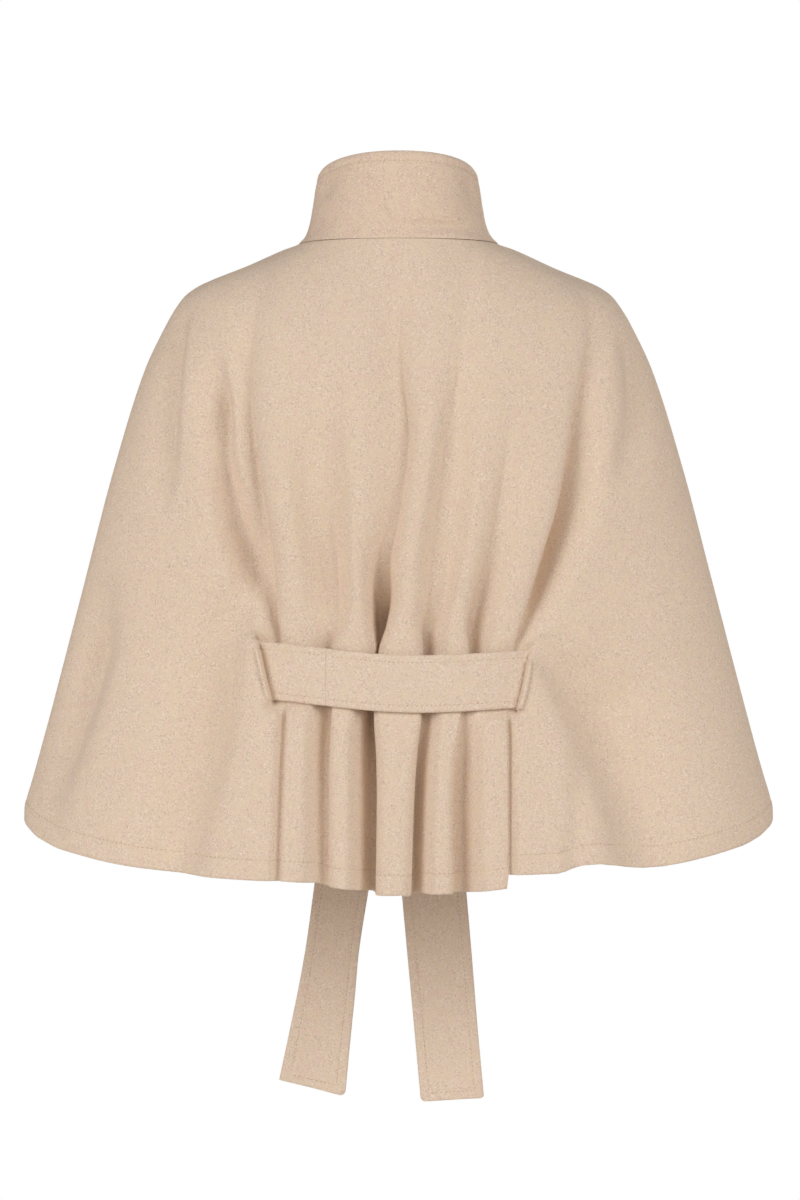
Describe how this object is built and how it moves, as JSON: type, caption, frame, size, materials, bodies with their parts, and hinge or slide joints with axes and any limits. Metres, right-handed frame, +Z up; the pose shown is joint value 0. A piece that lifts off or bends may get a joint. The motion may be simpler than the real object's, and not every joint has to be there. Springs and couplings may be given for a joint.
{
  "type": "wool cape",
  "caption": "Hip-length wool cape with a standing collar and lapped fronts, drawn in by a tie belt that passes through slots and is knotted in front with hanging ends.",
  "frame": {"origin": "middle of the neck opening, level with the collar seam at the shoulders, where the wearer carries the cape", "axes": "+Z up, +Y towards the wearer's front, +X towards the wearer's right; the picture shows the back from -Y"},
  "size_m": [0.724, 0.3108, 0.9352],
  "materials": {
    "body_wool": "brushed heathered beige wool coating, matte",
    "collar_wool": "the same wool, doubled, with top-stitching under the rim",
    "belt_wool": "the same wool, doubled, with top-stitched edges"
  },
  "bodies": {
    "root": {"back": "body_wool", "front_left": "body_wool", "front_right": "body_wool", "slot_lip_back_left": "body_wool", "slot_lip_back_right": "body_wool", "slot_lip_front_left": "body_wool", "slot_lip_front_right": "body_wool", "collar": "collar_wool", "belt_short": "belt_wool", "belt_long": "belt_wool", "belt_knot": "belt_wool", "belt_tail_left": "belt_wool", "belt_tail_right": "belt_wool"}
  },
  "joints": []
}
